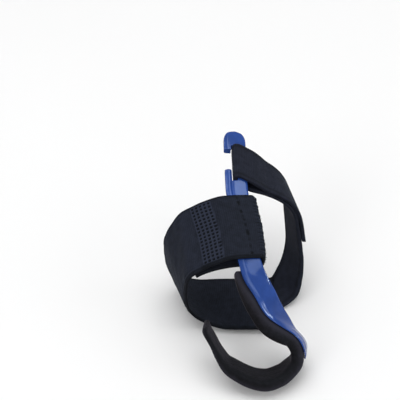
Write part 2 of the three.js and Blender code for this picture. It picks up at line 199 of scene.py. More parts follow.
# The lever's front edge, then the way to its back edge, then its width and the foam's thickness as shares
# The length along the edge, at, is worked out below
LEVER = Table(
    "at x y z bx by bz wide pad",
    [
        (0, -0.139, 0.298, 0.076, 1, 0, -0.03, 0.69, 0.72),
        (0, -0.089, 0.384, 0.122, 0.95, 0.2, -0.24, 0.74, 0.78),
        (0, -0.018, 0.477, 0.174, 0.85, 0.4, -0.35, 0.82, 0.85),
        (0, 0.093, 0.588, 0.243, 0.69, 0.57, -0.44, 0.94, 0.9),
        (0, 0.225, 0.654, 0.343, 0.62, 0.58, -0.53, 1.05, 0.92),
        (0, 0.368, 0.693, 0.409, 0.54, 0.58, -0.62, 1.09, 0.96),
        (0, 0.561, 0.711, 0.457, 0.45, 0.56, -0.69, 0.92, 1),
        (0, 0.764, 0.719, 0.498, 0.28, 0.56, -0.78, 0.82, 1),
        (0, 0.864, 0.737, 0.543, 0.22, 0.59, -0.78, 0.9, 1),
        (0, 0.95, 0.761, 0.622, 0.16, 0.62, -0.76, 0.9, 1),
        (0, 1.004, 0.789, 0.709, 0.1, 0.7, -0.7, 0.9, 1),
        (0, 1.021, 0.825, 0.772, 0.02, 0.74, -0.67, 0.9, 1),
        (0, 0.993, 0.877, 0.859, -0.02, 0.8, -0.6, 0.9, 1),
        (0, 0.846, 0.939, 0.95, -0.03, 0.86, -0.5, 0.89, 0.98),
        (0, 0.686, 0.991, 1, -0.03, 0.9, -0.43, 0.88, 0.96),
        (0, 0.368, 1.044, 1.026, -0.02, 0.92, -0.39, 0.87, 0.95),
        (0, 0.043, 1.026, 1.002, 0, 0.92, -0.39, 0.86, 0.92),
        (0, -0.279, 0.965, 0.935, 0.02, 0.92, -0.39, 0.84, 0.86),
        (0, -0.439, 0.912, 0.883, 0.04, 0.91, -0.4, 0.82, 0.7),
        (0, -0.586, 0.821, 0.761, 0.06, 0.9, -0.42, 0.8, 0.5),
        (0, -0.664, 0.761, 0.674, 0.08, 0.89, -0.44, 0.79, 0.4),
        (0, -0.764, 0.711, 0.593, 0.1, 0.88, -0.45, 0.78, 0.42),
        (0, -0.836, 0.667, 0.487, 0.1, 0.88, -0.45, 0.77, 0.48),
    ],
)
EDGE_SCALE = Vector((CRADLE_SPAN, -CRADLE_REACH, -CRADLE_DROP))


def edge_place(x, y, z):
    return Vector((x * EDGE_SCALE.x, y * EDGE_SCALE.y, z * EDGE_SCALE.z))


for before, row in zip(LEVER.rows, LEVER.rows[1:]):
    row[0] = before[0] + (edge_place(*row[1:4]) - edge_place(*before[1:4])).length
LEVER_LENGTH = LEVER.rows[-1][0]


class StrapForm:
    """The surface the straps lie on: y runs along it, s round it from the arm, and n off it."""

    LOW = -75.0
    STEP = 0.5
    ROWS = 310
    SAMPLES = 900
    POINTS = 240

    def __init__(self):
        made = [self.section(self.LOW + self.STEP * k) for k in range(self.ROWS)]
        self.table = np.array([section[0] for section in made])
        self.girth = np.array([section[1] for section in made])
        self.start = np.array([section[2] for section in made])

    def section(self, y):
        """A cross-section at y: places and outward ways by length, its girth, and where the arm lies."""
        middle = FORM_SHIFT - FORM_LEAN * y
        waist = -WAIST_DEPTH + WAIST_SLOPE * y
        angle = math.pi / 2 + np.linspace(0, 2 * math.pi, self.POINTS + 1)[:-1]
        c, s = np.cos(angle), np.sin(angle)
        up = s > 0
        height = np.where(up, INSTEP_SLOPE * y - waist, (waist + INSTEP_HEIGHT) * SOLE_FULLNESS)
        half = np.where(c > 0, OUTER_HALF_WIDTH, INNER_HALF_WIDTH + INNER_SPREAD * y)
        upper = np.where(c > 0, 2 / OUTER_ROUNDNESS, 2 / INNER_ROUNDNESS)
        power = np.where(up, upper, 2 / SOLE_ROUNDNESS)
        x = middle + half * np.sign(c) * np.abs(c) ** power
        z = np.maximum(waist + height * np.sign(s) * np.abs(s) ** power, -INSTEP_HEIGHT)
        out_x = np.roll(z, -2) - np.roll(z, 2)
        out_z = np.roll(x, 2) - np.roll(x, -2)
        size = np.hypot(out_x, out_z)
        ring = [np.append(a, a[0]) for a in (x, z, out_x / size, out_z / size)]
        lengths = np.append(0, np.cumsum(np.hypot(np.diff(ring[0]), np.diff(ring[1]))))
        spots = np.linspace(0, lengths[-1], self.SAMPLES + 1)
        table = np.stack([np.interp(spots, lengths, a) for a in ring], 1)
        return table, lengths[-1], middle - ARM_COURSE.read("x", y)

    def row(self, k, s):
        """Place and outward way at s on one stored section each."""
        at = np.mod(s + self.start[k], self.girth[k]) / self.girth[k] * self.SAMPLES
        low = np.minimum(at.astype(int), self.SAMPLES - 1)
        t = (at - low)[..., None]
        return self.table[k, low] * (1 - t) + self.table[k, low + 1] * t

    def at(self, y, s, n):
        """Points in millimetres, in an array with one more axis than y, s and n."""
        y, s, n = np.broadcast_arrays(*(np.asarray(a, float) for a in (y, s, n)))
        place = (y - self.LOW) / self.STEP
        k = np.clip(place.astype(int), 0, self.ROWS - 2)
        t = (place - k)[..., None]
        spot = self.row(k, s) * (1 - t) + self.row(k + 1, s) * t
        size = np.hypot(spot[..., 2], spot[..., 3])
        x = spot[..., 0] + spot[..., 2] / size * n
        z = spot[..., 1] + spot[..., 3] / size * n
        return np.stack([x, y, z], -1)


FORM = StrapForm()


def profile_path(corners, step):
    """Points (s, n) along straight runs joined by round corners, each (s, n, radius)."""
    path = [corners[0][:2]]

    def run_to(s, n):
        s0, n0 = path[-1]
        pieces = max(1, round(math.hypot(s - s0, n - n0) / step))
        path.extend((s0 + (s - s0) * i / pieces, n0 + (n - n0) * i / pieces) for i in range(1, pieces + 1))

    for before, here, after in zip(corners, corners[1:], corners[2:]):
        way_in = Vector((here[0] - before[0], here[1] - before[1]))
        way_out = Vector((after[0] - here[0], after[1] - here[1]))
        turn = way_in.angle(way_out)
        cut = here[2] * math.tan(turn / 2)
        corner = Vector(here[:2])
        start = corner - way_in.normalized() * cut
        end = corner + way_out.normalized() * cut
        run_to(*start)
        bends = max(LEAST_BENDS, round(turn / BEND_STEP))
        for i in range(1, bends + 1):
            t = i / bends
            path.append(tuple((1 - t) * (1 - t) * start + 2 * t * (1 - t) * corner + t * t * end))
    run_to(*corners[-1][:2])
    return np.array(path)


def respaced(path, step_at):
    """The same path with steps whose length step_at gives for each (s, share of the way)."""
    lengths = np.append(0, np.cumsum(np.hypot(*np.diff(path, axis=0).T)))
    places = [0.0]
    while places[-1] < lengths[-1]:
        s = np.interp(places[-1], lengths, path[:, 0])
        places.append(places[-1] + step_at(s, places[-1] / lengths[-1]))
    places[-1] = lengths[-1]
    return np.stack([np.interp(places, lengths, path[:, k]) for k in (0, 1)], 1), np.array(places)


def strap_outline(width, thickness, edge, upper, lower):
    """Places (across, up) round a strap's section, from its right edge over its upper face and back."""
    half, flat = width / 2, thickness / 2
    bend = np.linspace(0, math.pi / 2, CORNER_POINTS)
    right = [(half - edge + edge * math.cos(a), flat - edge + edge * math.sin(a)) for a in bend]
    top = [(a, flat) for a in np.linspace(half - edge, edge - half, upper)[1:-1]]
    left = [(-a, b) for a, b in reversed(right)]
    bottom = [(a, -flat) for a in np.linspace(edge - half, half - edge, lower)[1:-1]]
    lower_left = [(a, -b) for a, b in reversed(left)]
    lower_right = [(a, -b) for a, b in reversed(right)]
    return np.array(right + top + left + lower_left + bottom + lower_right)


def upper_face(up):
    """1 on a strap's upper face and 0 on its lower one."""
    return smooth(0.0, 0.5, up)


def strap_points(path, course, outline, relief):
    """A strap's rings in millimetres, and its tone.

    relief takes s, n, across and up. It gives how far the faces stand proud, and the painted light and
    shade on them.
    """
    s, n = path[:, 0], path[:, 1]
    ds, dn = np.gradient(s), np.gradient(n)
    size = np.hypot(ds, dn)
    up_s, up_n = -dn / size, ds / size
    y = np.array([course.read("y", a) for a in s])
    square = np.array([course.read("square", a) for a in s])
    ahead = np.array([course.read("y", a + NEAR) for a in s])
    behind = np.array([course.read("y", a - NEAR) for a in s])
    run = FORM.at(ahead, s + NEAR, 0) - FORM.at(behind, s - NEAR, 0)
    along_y = FORM.at(y + NEAR, s, n) - FORM.at(y - NEAR, s, n)
    along_s = FORM.at(y, s + NEAR, 0) - FORM.at(y, s - NEAR, 0)
    lean = -(along_y * run).sum(1) / (along_s * run).sum(1) * square
    stretch = np.linalg.norm(along_y + along_s * lean[:, None], axis=1)
    across, up = outline[:, 0][None], outline[:, 1][None]
    proud, tone = relief(s[:, None], n[:, None], across, up)
    tone = np.broadcast_to(tone, (len(s), len(outline)))
    off_middle = smooth(0.2, 0.6, np.abs(up))
    up = up + proud * np.sign(up) * off_middle
    dy = across / stretch[:, None]
    points = FORM.at(
        y[:, None] + dy,
        s[:, None] + dy * lean[:, None] + up * up_s[:, None],
        n[:, None] + up * up_n[:, None],
    )
    return points, tone


def linked(name, data):
    """A new object in the scene, with this mesh, light or camera."""
    made = bpy.data.objects.new(name, data)
    bpy.context.collection.objects.link(made)
    return made


def keep_tone(mesh, tone):
    """Stores the surface's tone at each corner of the mesh, which carries its painted light and shade."""
    mesh.attributes.new("tone", "FLOAT", "POINT").data.foreach_set("value", np.ravel(tone))


def mesh_piece(name, points, material, cloth=None):
    """A closed piece from rings of points in millimetres. cloth is (lengths, across, tone) of a strap."""
    rings, count = points.shape[:2]
    verts = (points.reshape(-1, 3) * MM).tolist()
    faces = []
    for r in range(rings - 1):
        for i in range(count):
            j = (i + 1) % count
            faces.append((r * count + i, r * count + j, (r + 1) * count + j, (r + 1) * count + i))
    faces.append(tuple(reversed(range(count))))
    faces.append(tuple((rings - 1) * count + i for i in range(count)))
    mesh = bpy.data.meshes.new(name)
    mesh.from_pydata(verts, [], faces)
    if cloth is not None:
        lengths, across, tone = cloth
        layer = mesh.uv_layers.new(name="cloth")
        ring, spot = np.divmod(np.array([loop.vertex_index for loop in mesh.loops]), count)
        uv = np.stack([lengths[ring], across[spot]], 1) * MM_TO_CM
        layer.data.foreach_set("uv", uv.ravel())
        keep_tone(mesh, tone)
    made = bmesh.new()
    made.from_mesh(mesh)
    bmesh.ops.recalc_face_normals(made, faces=made.faces)
    made.to_mesh(mesh)
    made.free()
    for polygon in mesh.polygons:
        polygon.use_smooth = True
    mesh.materials.append(material)
    return linked(name, mesh)


def eased(rings, first, last, passes):
    """Rings with small waves taken out along the piece, apart from the first and last few."""
    for _ in range(passes):
        middle = (rings[first - 1:-last - 1] + rings[first + 1:len(rings) - last + 1]) / 2
        rings[first:-last] += 0.5 * (middle - rings[first:-last])
    return rings


def settle(piece):
    """Makes the piece's modifiers part of its mesh."""
    shaped = piece.evaluated_get(bpy.context.evaluated_depsgraph_get())
    mesh = bpy.data.meshes.new_from_object(shaped)
    piece.modifiers.clear()
    old = piece.data
    piece.data = mesh
    mesh.name = piece.name
    bpy.data.meshes.remove(old)


class Value:
    """A number, colour or vector that changes over a surface, as a node's output socket."""

    def __init__(self, finish, socket):
        self.finish = finish
        self.socket = socket

    def math(self, operation, *terms):
        return self.finish.node("ShaderNodeMath", {"operation": operation}, dict(enumerate(terms)))

    def __add__(self, other):
        return self.math("ADD", self, other)

    def __sub__(self, other):
        return self.math("SUBTRACT", self, other)

    def __rsub__(self, other):
        return self.math("SUBTRACT", other, self)

    def __mul__(self, other):
        return self.math("MULTIPLY", self, other)

    __radd__ = __add__
    __rmul__ = __mul__

    def wave(self):
        """Its sine."""
        return self.math("SINE", self)

    def ramp(self, low, high):
        """0 below low and 1 above high."""
        settings = {"interpolation_type": "SMOOTHSTEP"}
        inputs = {"Value": self, "From Min": low, "From Max": high}
        return self.finish.node("ShaderNodeMapRange", settings, inputs)


class Finish:
    """A material of the brace and the way its nodes are added."""

    def __init__(self, name, **constants):
        self.material = bpy.data.materials.new(name)
        self.material.use_nodes = True
        self.tree = self.material.node_tree
        self.shader = self.tree.nodes["Principled BSDF"]
        for socket, value in constants.items():
            self.shader.inputs[socket.replace("_", " ")].default_value = value

    def node(self, kind, settings=None, inputs=None, output=0):
        """Adds a node, sets it, and sets or links its inputs."""
        made = self.tree.nodes.new(kind)
        for key, value in (settings or {}).items():
            setattr(made, key, value)
        for key, value in (inputs or {}).items():
            if isinstance(value, Value):
                self.tree.links.new(value.socket, made.inputs[key])
            else:
                made.inputs[key].default_value = value
        return Value(self, made.outputs[output])

    def place(self):
        """Metres in the brace's own frame."""
        return self.node("ShaderNodeTexCoord", output="Object")

    def cloth(self):
        """Centimetres along a strap and across it."""
        return self.node("ShaderNodeUVMap", {"uv_map": "cloth"})

    def tone(self):
        """The painted light and shade of the cloth or foam: from the relief on the straps, and a painted
        toe shadow and rim sheen on the foam.
        """
        return self.node("ShaderNodeAttribute", {"attribute_name": "tone"}, output="Fac")

    def noise(self, spot, scale, detail, roughness=0.5):
        """Clouds from 0 to 1."""
        inputs = {"Vector": spot, "Scale": scale, "Detail": detail, "Roughness": roughness}
        return self.node("ShaderNodeTexNoise", None, inputs)

    def cells(self, spot, scale):
        """Distance from the middle of the nearest of many small cells."""
        return self.node("ShaderNodeTexVoronoi", None, {"Vector": spot, "Scale": scale})

    def split(self, spot):
        """The first two numbers of a place."""
        outputs = self.node("ShaderNodeSeparateXYZ", None, {0: spot}).socket.node.outputs
        return Value(self, outputs[0]), Value(self, outputs[1])

    def mix(self, share, first, second):
        """A colour between two. The node's colour sockets go by number, because their names repeat."""
        inputs = {0: share, 6: first, 7: second}
        return self.node("ShaderNodeMix", {"data_type": "RGBA"}, inputs, output=2)

    def bump(self, height, depth, strength, under=None):
        """A relief of the surface, on top of another where under is given."""
        inputs = {"Height": height, "Distance": depth, "Strength": strength}
        if under is not None:
            inputs["Normal"] = under
        return self.node("ShaderNodeBump", None, inputs)

    def surface(self, **sockets):
        """The material, once these values are linked to its surface."""
        for key, value in sockets.items():
            self.tree.links.new(value.socket, self.shader.inputs[key.replace("_", " ")])
        return self.material


def shade(colour, factor):
    """A colour made lighter or darker."""
    return (colour[0] * factor, colour[1] * factor, colour[2] * factor, 1.0)


def moulded_plastic(colour):
    """Glossy moulded plastic with faint flow clouds and a slight ripple."""
    coat = {"Coat_Weight": 0.12, "Coat_IOR": 2.0, "Coat_Roughness": 0.13}
    finish = Finish("moulded_plastic", Specular_IOR_Level=0.04, **coat)
    spot = finish.place()
    clouds = finish.noise(spot, scale=90.0, detail=3.0)
    scuffs = finish.noise(spot, scale=900.0, detail=4.0, roughness=0.7).ramp(0.58, 0.75)
    waves = finish.noise(spot, scale=160.0, detail=2.0)
    grain = finish.noise(spot, scale=2600.0, detail=2.0)
    waved = finish.bump(waves, depth=0.0004, strength=0.25)
    base = finish.mix(clouds.ramp(0.35, 0.7), shade(colour, 0.86), shade(colour, 1.14))
    return finish.surface(
        Base_Color=base,
        Roughness=scuffs * 0.14 + 0.18,
        Normal=finish.bump(grain, depth=0.00002, strength=0.35, under=waved),
    )


def skinned_foam(colour):
    """Black closed-cell foam with fine and wide cells and a soft sheen."""
    sheen = {"Sheen_Weight": 0.12, "Sheen_Roughness": 0.4, "Sheen_Tint": (0.62, 0.55, 0.7, 1.0)}
    finish = Finish("skinned_foam", Specular_IOR_Level=0.13, **sheen)
    spot = finish.place()
    fine_cells = finish.cells(spot, scale=1500.0)
    wide_cells = finish.cells(spot, scale=700.0)
    lumps = finish.noise(spot, scale=160.0, detail=3.0)
    mottle = finish.noise(spot, scale=420.0, detail=4.0, roughness=0.65)
    # The tone paints the toe's shadow inside the cradle and a sheen on its outer rim; the mottle is the
    # foam's own
    light = finish.tone() + (mottle - 0.5) * 0.9
    base = finish.mix(light.ramp(-0.1, 1.1), shade(colour, 0.15), shade(colour, 2.3))
    height = fine_cells * 0.6 + wide_cells * 0.4
    lumpy = finish.bump(lumps, depth=0.0012, strength=0.3)
    return finish.surface(
        Base_Color=base,
        Roughness=mottle * 0.2 + 0.7,
        Normal=finish.bump(height, depth=0.00022, strength=0.6, under=lumpy),
    )


def strap_cloth(name, colour, along, across):
    """Strap cloth with fine courses of loops, so many to the centimetre along it and across it."""
    sheen = {"Sheen_Weight": 0.03, "Sheen_Roughness": 0.35, "Sheen_Tint": (0.5, 0.6, 0.8, 1.0)}
    finish = Finish(name, Specular_IOR_Level=0.15, **sheen)
    spot = finish.cloth()
    x, y = finish.split(spot)
    row = (y * (across * math.pi * 2)).wave()
    stitch = (x * (along * math.pi * 2) + row * 1.4).wave()
    loops = (row * 0.5 + 0.5) * (stitch * 0.5 + 0.5)
    fluff = finish.noise(spot, scale=38.0, detail=4.0, roughness=0.7)
    cloud = finish.noise(spot, scale=3.2, detail=3.0)
    # The tone carries the painted light and shade of the relief; the clouds, fluff and loops are the
    # cloth's own texture
    light = finish.tone() + (cloud - 0.5) * 0.5 + (fluff - 0.5) * 0.8 + (loops - 0.3) * 0.3
    base = finish.mix(light.ramp(-0.1, 1.1), shade(colour, 0.25), shade(colour, 2.4))
    return finish.surface(
        Base_Color=base,
        Roughness=fluff * 0.15 + 0.84,
        Normal=finish.bump(loops * 0.6 + fluff * 0.8, depth=0.00022, strength=0.7),
    )


class BraceSizes(bpy.types.PropertyGroup):
    """Sizes of the details that the solids leave out, and the floor's place."""

    weld_pitch: FloatProperty(
        name="Weld pitch", description="Distance from one weld cell to the next",
        default=0.00185, min=0.001, max=0.004, precision=5, subtype="DISTANCE", unit="LENGTH",
    )
    weld_depth: FloatProperty(
        name="Weld depth", description="Depth of a weld cell's pit",
        default=0.00042, min=0.0, max=0.0008, precision=5, subtype="DISTANCE", unit="LENGTH",
    )
    weld_columns: IntProperty(
        name="Weld columns", description="Columns of cells in the weld grid", default=5, min=1, max=8,
    )
    weld_rows: IntProperty(
        name="Weld rows", description="Rows of cells in the weld grid", default=17, min=4, max=18,
    )
    fluff_length: FloatProperty(
        name="Fluff length", description="Length of the loose loops along the wide strap's fold",
        default=0.0008, min=0.0, max=0.002, precision=5, subtype="DISTANCE", unit="LENGTH",
    )
    rib_height: FloatProperty(
        name="Rib height", description="Height of the rib along the arm's inner edge",
        default=0.0005, min=0.0, max=0.0006, precision=5, subtype="DISTANCE", unit="LENGTH",
    )
    floor_drop: FloatProperty(
        name="Floor drop", description="Distance from the lowest point down to the floor",
        default=0.0003, min=0.0, max=0.05, precision=5, subtype="DISTANCE", unit="LENGTH",
    )


class BraceColours(bpy.types.PropertyGroup):
    """Colours of the brace's finishes."""

    plastic: FloatVectorProperty(
        name="Plastic", description="Colour of the moulded lever",
        default=(0.021, 0.063, 0.27), min=0.0, max=1.0, subtype="COLOR",
    )
    foam: FloatVectorProperty(
        name="Foam", description="Colour of the cradle's foam",
        default=(0.0085, 0.008, 0.0115), min=0.0, max=1.0, subtype="COLOR",
    )
    loop_cloth: FloatVectorProperty(
        name="Loop cloth", description="Colour of the wide strap",
        default=(0.0095, 0.0115, 0.0195), min=0.0, max=1.0, subtype="COLOR",
    )
    knit_cloth: FloatVectorProperty(
        name="Knit cloth", description="Colour of the narrow strap",
        default=(0.0105, 0.012, 0.0205), min=0.0, max=1.0, subtype="COLOR",
    )


# Heights of the strap layers off the form, at the middle of the cloth
UNDER_LAYER = STRAP_THICKNESS / 2
PLASTIC_UNDERSIDE = STRAP_THICKNESS + GAP
OVER_ARM = PLASTIC_UNDERSIDE + PLASTIC_THICKNESS + GAP + ARM_EASE + STRAP_THICKNESS / 2
OVER_STRAP = STRAP_THICKNESS + GAP + STRAP_THICKNESS / 2
FOLD_RADIUS = FOLD_SLACK + STRAP_THICKNESS / 2
WIDE_FOLD = -ARM_WIDTH / 2 - GAP - STRAP_THICKNESS / 2


def wide_path():
    """The wide strap's way (s, n): under layer, fold round the arm, over it and down to its far end."""
    corners = [
        (WIDE_UNDER_LAYER, UNDER_LAYER),
        (WIDE_FOLD, UNDER_LAYER, FOLD_RADIUS),
        (WIDE_FOLD, OVER_ARM, FOLD_RADIUS),
        (ARM_WIDTH * 0.77, OVER_ARM, STRAP_BEND),
        (WIDE_UNDER_LAYER * 0.85, OVER_STRAP + STRAP_THICKNESS * 0.25, STRAP_BEND * 1.4),
        (WIDE_UNDER_LAYER * 1.07, OVER_STRAP, STRAP_BEND * 0.7),
        (WIDE_UNDER_LAYER * 1.33, UNDER_LAYER, STRAP_BEND),
        (WIDE_STRAP_REACH, UNDER_LAYER),
    ]
    return profile_path(corners, PATH_STEP)


def narrow_path():
    """The narrow strap's way (s, n): lap over the wide strap, up to the slot, through it and back."""
    fold = -ARM_WIDTH / 2 + SLOT_BAR_WIDTH + GAP + STRAP_THICKNESS / 2
    girth = float(np.interp(0, FORM.LOW + FORM.STEP * np.arange(FORM.ROWS), FORM.girth))
    lap = WIDE_STRAP_REACH - girth
    corners = [
        (lap - SOLE_LAP, OVER_STRAP),
        (lap + LAP_STEP, OVER_STRAP, STRAP_BEND * 0.43),
        (lap + LAP_STEP + LAP_SLOPE, UNDER_LAYER, STRAP_BEND * 0.43),
        (fold, UNDER_LAYER, FOLD_RADIUS),
        (fold, OVER_ARM, FOLD_RADIUS),
        (-ARM_WIDTH * 0.63, OVER_ARM, STRAP_BEND * 0.57),
        (-ARM_WIDTH * 1.3, OVER_STRAP, STRAP_BEND * 0.57),
        (-NARROW_TAIL_LENGTH, OVER_STRAP),
    ]
    return profile_path(corners, PATH_STEP)


def pits(u, v):
    """Depth of a field of square pits, from 0 between cells to 1 in the middle of each."""
    across, along = (1 - smooth(0.16, 0.4, np.abs(a - np.round(a))) for a in (u, v))
    return across * along


def groove(place, middle, width):
    """1 along the middle of a soft groove and 0 beside it."""
    return np.exp(-(((place - middle) / width) ** 2))


def ripple(s, across):
    """The slight unevenness of worn cloth."""
    return 0.1 * np.sin(0.31 * s + 0.7 * np.sin(0.21 * across)) + 0.06 * np.sin(0.83 * s + 0.47 * across)


class BRACE_OT_wide_strap(bpy.types.Operator):
    """Make the wide strap, with its weld grid, its stitched pits and the fluff along its fold."""

    bl_idname = "brace.wide_strap"
    bl_label = "Wide strap"

    # Places, leans, sizes and steps of its details in millimetres, and the painted light and shade on them
    GRID_PLACE = 17.2
    GRID_LEAN = 0.09
    GRID_RISE = 0.12
    GRID_FROM = 12.5
    GRID_TO = 25
    COLUMN_STRETCH = 1.06
    SEAM_PLACE = 0.1
    SEAM_LEAN = 0.094
    SEAM_PITCH = 2.1
    SEAM_DEPTH = 0.8
    KNOT_HEIGHT = 0.42
    HEM_PLACE = 2.1
    HEM_WIDTH = 0.5
    HEM_DEPTH = 0.22
    EDGE_DROP = 0.45
    EDGE_ROUND = 0.75
    PLAIN_TONE = 0.42
    GRID_HIGHLIGHT = 0.62
    PIT_SHADE = 1.3
    BRIM_TONE = 0.3
    UNDER_SHARE = 0.2
    GRID_STEP = 0.3
    FOLD_STEP = 0.25
    SEAM_STEP = 0.4
    PLAIN_STEP = 0.9
    UPPER_POINTS = 110
    LOWER_POINTS = 24

    LOOPS = 420
    LOOP_SIDES = (0, 2.1, 4.2)
    LOOP_ROOT = 0.07
    LOOP_BEND = 0.06
    LOOP_TONE = 0.8

    def execute(self, context):
        sizes, colours = context.scene.brace_sizes, context.scene.brace_colours
        pitch, depth = sizes.weld_pitch / MM, sizes.weld_depth / MM
        columns, rows = sizes.weld_columns, sizes.weld_rows
        layer_from, layer_full = OVER_STRAP - 0.8, OVER_STRAP - 0.2

        def relief(s, n, across, up):
            face = upper_face(up)
            upper = face * smooth(layer_from, layer_full, n)
            inside = 1 - smooth(rows / 2 - 0.1, rows / 2 + 0.1, np.abs(across / pitch))

            u = (s - self.GRID_PLACE - self.GRID_LEAN * across) / (pitch * self.COLUMN_STRETCH)
            v = across / pitch + (rows % 2 + 1) * 0.5
            grid = inside * (1 - smooth(columns / 2 - 0.1, columns / 2 + 0.15, np.abs(u)))
            cells = pits(u + 0.5 * (columns + 1), v)
            weld = grid * (self.GRID_RISE - (depth + self.GRID_RISE) * cells)

            w = (s - self.SEAM_PLACE - self.SEAM_LEAN * across) / pitch
            line = 1 - smooth(0.5, 0.7, np.abs(w))
            spots = pits(w, (across + 0.5 * np.sin(0.9 * across)) / (self.SEAM_PITCH * pitch))
            seam = -self.SEAM_DEPTH * depth * line * inside * spots * (0.6 + 0.4 * np.sin(1.1 * across))

            fold = (1 - smooth(WIDE_FOLD + 0.6, WIDE_FOLD + 2.4, s)) * smooth(2.2, 3.2, n)
            knots = np.sin(2 * math.pi * across / pitch + 0.9 * np.sin(0.7 * across))
            bumps = self.KNOT_HEIGHT * fold * knots * (0.7 + 0.3 * np.sin(1.3 * across))

            brim = WIDE_STRAP_WIDTH / 2 - np.abs(across)
            hem = -self.HEM_DEPTH * groove(brim, self.HEM_PLACE, self.HEM_WIDTH)
            edge = hem - self.EDGE_DROP * smooth(1.7, 0.2, brim)
            proud = upper * (weld + seam) + face * (bumps + ripple(s, across) + edge)

            # Painted light and shade on the upper face: lighter raised grid lines, darker weld pits and
            # seam pits, lighter and darker knots along the fold, and a painted sheen beyond the grid; the
            # tone also falls off toward the strap's edges
            grid_shading = grid * (self.GRID_HIGHLIGHT - self.PIT_SHADE * cells)
            sheen_beside_grid = 0.1 * smooth(0.0, 1.5, u - columns / 2)
            tone = self.PLAIN_TONE + upper * (grid_shading + seam * 1.8 + sheen_beside_grid) + 0.5 * bumps
            return proud, tone - self.BRIM_TONE * smooth(1.7, 0.9, brim)

        def step_at(s, share):
            if share > self.UNDER_SHARE and self.GRID_FROM < s < self.GRID_TO:
                return self.GRID_STEP
            if s < WIDE_FOLD + 3:
                return self.FOLD_STEP
            return self.SEAM_STEP if share > self.UNDER_SHARE and s < 4 else self.PLAIN_STEP

        path, lengths = respaced(wide_path(), step_at)
        outline = strap_outline(
            WIDE_STRAP_WIDTH, STRAP_THICKNESS, self.EDGE_ROUND, self.UPPER_POINTS, self.LOWER_POINTS,
        )
        points, tone = strap_points(path, WIDE_COURSE, outline, relief)
        material = strap_cloth("loop_cloth", colours.loop_cloth, 11.0, 13.0)
        piece = mesh_piece("wide_strap_cloth", points, material, (lengths, outline[:, 0], tone))
        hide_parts("wide_strap")
        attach(piece, "root")
        fluff = self.fluff(points, outline, path, sizes.fluff_length / MM, material)
        return {"FINISHED"}

    def fluff(self, points, outline, path, length, material):
        """Short bent loops of loose yarn that stand out along the fold."""
        rng = random.Random(7)
        on_fold = (path[:, 0] < WIDE_FOLD + 1.4) & (path[:, 1] > 1.6)
        fold = [k for k in range(len(path)) if on_fold[k]]
        top = [i for i in range(len(outline)) if outline[i, 1] > 0.9]
        verts, faces = [], []
        for _ in range(self.LOOPS):
            k, i = rng.choice(fold), rng.choice(top)
            base = Vector(points[k, i])
            beside = Vector(points[k, i + 1]) - base
            ahead = Vector(points[k + 1, i]) - base
            out = ahead.cross(beside).normalized()
            centre = Vector(points[k].mean(0))
            if out.dot(base - centre) < 0:
                out.negate()
            jitter = Vector([rng.uniform(-1, 1) for _ in range(3)])
            reach = length * rng.uniform(0.35, 1.0)
            root = base - out * 0.1
            middle = base + out * reach * 0.55 + jitter * 0.12 * reach
            end = base + out * reach * 0.6 + jitter * 0.7 * reach
            side = out.cross(jitter).normalized()
            other = out.cross(side).normalized()
            first = len(verts)
            for spot, radius in ((root, self.LOOP_ROOT), (middle, self.LOOP_BEND)):
                for angle in self.LOOP_SIDES:
                    off = (side * math.cos(angle) + other * math.sin(angle)) * radius
                    verts.append((spot + off) * MM)
            verts.append(end * MM)
            for a, b in ((0, 1), (1, 2), (2, 0)):
                faces.append((first + a, first + b, first + 3 + b, first + 3 + a))
                faces.append((first + 3 + a, first + 3 + b, first + 6))
            faces.append((first + 2, first + 1, first))
        mesh = bpy.data.meshes.new("wide_strap_fluff")
        mesh.from_pydata([tuple(v) for v in verts], [], faces)
        for entry in mesh.uv_layers.new(name="cloth").data:
            entry.uv = (0.31, 0.17)
        keep_tone(mesh, [self.LOOP_TONE] * len(verts))
        mesh.materials.append(material)
        piece = linked("wide_strap_fluff", mesh)
        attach(piece, "root")
        return piece


class BRACE_OT_narrow_strap(bpy.types.Operator):
    """Make the narrow strap, folded through the lever's slot, with a pressed hem along each edge."""

    bl_idname = "brace.narrow_strap"
    bl_label = "Narrow strap"

    HEM_DEPTH = 0.2
    HEM_LINE_DEPTH = 0.08
    EDGE_ROUND = 0.7
    PLAIN_TONE = 0.45
    SLOT_STEP = 0.3
    PLAIN_STEP = 0.7
    UPPER_POINTS = 60
    LOWER_POINTS = 20

    def execute(self, context):
        colours = context.scene.brace_colours

        def relief(s, n, across, up):
            edge = NARROW_STRAP_WIDTH / 2 - np.abs(across)
            hem = -self.HEM_DEPTH * groove(edge, 1.7, 0.35) - self.HEM_LINE_DEPTH * groove(edge, 2.9, 0.3)
            # The hem grooves are painted darker by their depth, as painted shade
            return upper_face(up) * (hem + 0.8 * ripple(s, across)), self.PLAIN_TONE + hem * 1.2

        def step_at(s, share):
            return self.SLOT_STEP if s > -3 else self.PLAIN_STEP

        path, lengths = respaced(narrow_path(), step_at)
        outline = strap_outline(
            NARROW_STRAP_WIDTH, STRAP_THICKNESS, self.EDGE_ROUND, self.UPPER_POINTS, self.LOWER_POINTS,
        )
        points, tone = strap_points(path, NARROW_COURSE, outline, relief)
        material = strap_cloth("knit_cloth", colours.knit_cloth, 14.0, 16.0)
        piece = mesh_piece("narrow_strap_knit", points, material, (lengths, outline[:, 0], tone))
        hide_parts("narrow_strap")
        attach(piece, "root")
        return {"FINISHED"}


def lever_frame(at):
    """The lever's front edge, the way to its back edge and the way outward, at a length along it."""

    def point(t):
        return edge_place(*(LEVER.read(name, t) for name in "xyz"))

    edge = point(at)
    ahead, behind = point(min(LEVER_LENGTH, at + EDGE_NEAR)), point(max(0.0, at - EDGE_NEAR))
    along = (ahead - behind).normalized()
    back = Vector([LEVER.read(name, at) for name in ("bx", "by", "bz")]).normalized()
    return edge, back, -back.cross(along).normalized()


def bend_share(at):
    """Share of the bend, where the foam is thicker toward the plastic and the plastic is narrower."""
    return float(smooth(RAISE_FROM, RAISE_FULL, at) * (1 - smooth(LOWER_FROM, LOWER_FULL, at)))


